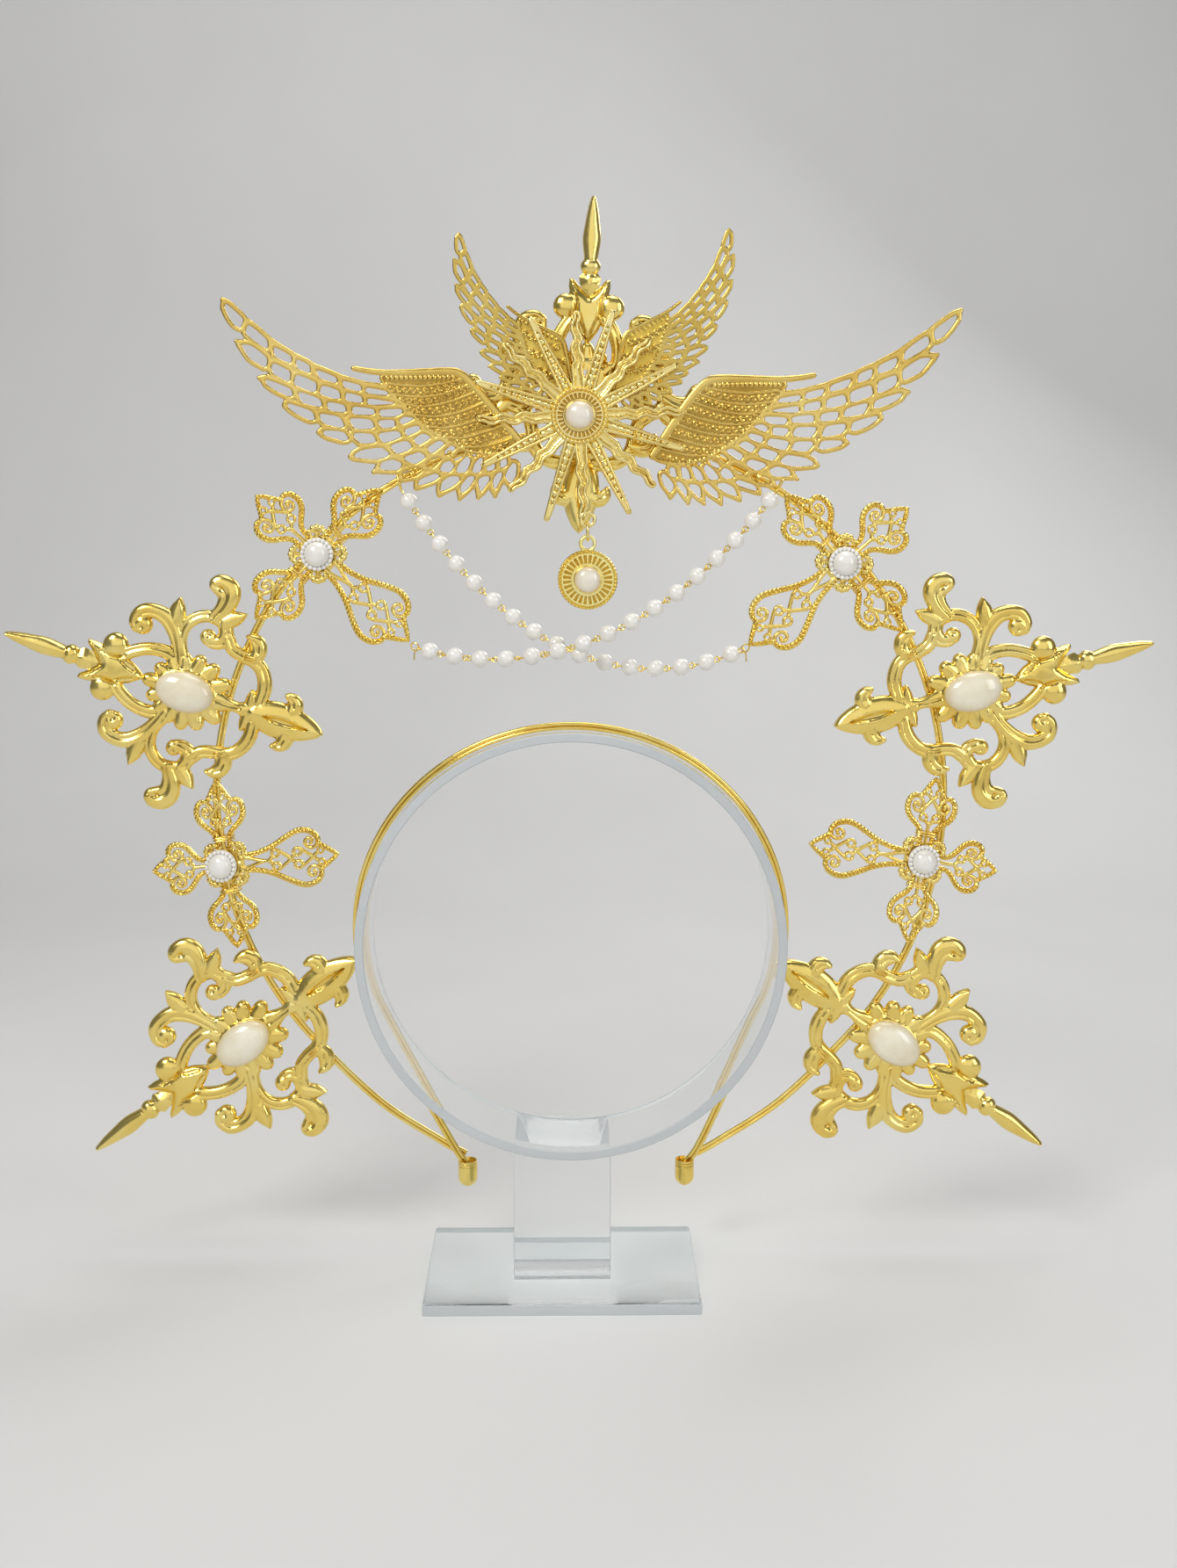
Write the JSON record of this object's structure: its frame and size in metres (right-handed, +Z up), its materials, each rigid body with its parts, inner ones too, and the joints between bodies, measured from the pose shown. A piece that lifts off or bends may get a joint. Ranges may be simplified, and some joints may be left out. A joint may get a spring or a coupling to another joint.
{
  "type": "halo crown on display stand",
  "caption": "Gold halo crown of pierced scrolls, filigree crosses, wings and a sunburst on a double wire, with pearl strands and a hanging medallion, on a clear ring-shaped display stand.",
  "frame": {"origin": "middle of the underside of the display stand's base plate", "axes": "+Z up, +X to the right of the crown as seen from its front, -Y towards the viewer"},
  "size_m": [0.3916, 0.06, 0.3631],
  "materials": {
    "yellow_gold": "polished bright yellow gold plating",
    "warm_gold": "satin warm gold plating",
    "pale_gold": "polished pale gold plating",
    "pearl": "pearl lustre",
    "clear_acrylic": "clear polished acrylic"
  },
  "bodies": {
    "crown_and_stand": {"baroque_plate_lower_left": "yellow_gold", "baroque_plate_lower_right": "yellow_gold", "baroque_plate_top": "yellow_gold", "baroque_plate_upper_left": "yellow_gold", "baroque_plate_upper_right": "yellow_gold", "display_stand": "clear_acrylic", "filigree_cross_middle_left": "yellow_gold", "filigree_cross_middle_right": "yellow_gold", "filigree_cross_upper_left": "yellow_gold", "filigree_cross_upper_right": "yellow_gold", "large_wing_left": "warm_gold", "large_wing_right": "warm_gold", "oval_pearl_lower_left": "pearl", "oval_pearl_lower_right": "pearl", "oval_pearl_upper_left": "pearl", "oval_pearl_upper_right": "pearl", "round_pearl_middle_left": "pearl", "round_pearl_middle_right": "pearl", "round_pearl_upper_left": "pearl", "round_pearl_upper_right": "pearl", "small_wing_left": "yellow_gold", "small_wing_right": "yellow_gold", "strand_a_bead_01": "pearl", "strand_a_bead_02": "pearl", "strand_a_bead_03": "pearl", "strand_a_bead_04": "pearl", "strand_a_bead_05": "pearl", "strand_a_bead_06": "pearl", "strand_a_bead_07": "pearl", "strand_a_bead_08": "pearl", "strand_a_bead_09": "pearl", "strand_a_bead_10": "pearl", "strand_a_bead_11": "pearl", "strand_a_bead_12": "pearl", "strand_a_bead_13": "pearl", "strand_a_bead_14": "pearl", "strand_a_bead_15": "pearl", "strand_a_bead_16": "pearl", "strand_b_bead_01": "pearl", "strand_b_bead_02": "pearl", "strand_b_bead_03": "pearl", "strand_b_bead_04": "pearl", "strand_b_bead_05": "pearl", "strand_b_bead_06": "pearl", "strand_b_bead_07": "pearl", "strand_b_bead_08": "pearl", "strand_b_bead_09": "pearl", "strand_b_bead_10": "pearl", "strand_b_bead_11": "pearl", "strand_b_bead_12": "pearl", "strand_b_bead_13": "pearl", "strand_b_bead_14": "pearl", "strand_b_bead_15": "pearl", "strand_b_bead_16": "pearl", "sunburst": "pale_gold", "sunburst_pearl": "pearl", "wire_frame": "yellow_gold"},
    "jump_ring": {"jump_ring": "pale_gold"},
    "drop": {"drop_medallion": "pale_gold", "drop_pearl": "pearl"}
  },
  "joints": [
    {"name": "ring_swing", "type": "hinge", "parent": "crown_and_stand", "child": "jump_ring", "pos_m": [0.0057, 0.01285, 0.2527], "axis": [1, 0, 0], "range_deg": [-75, 20]},
    {"name": "drop_swing", "type": "hinge", "parent": "jump_ring", "child": "drop", "pos_m": [0.0057, 0.01285, 0.24795], "axis": [0, 1, 0], "range_deg": [-50, 50]}
  ]
}
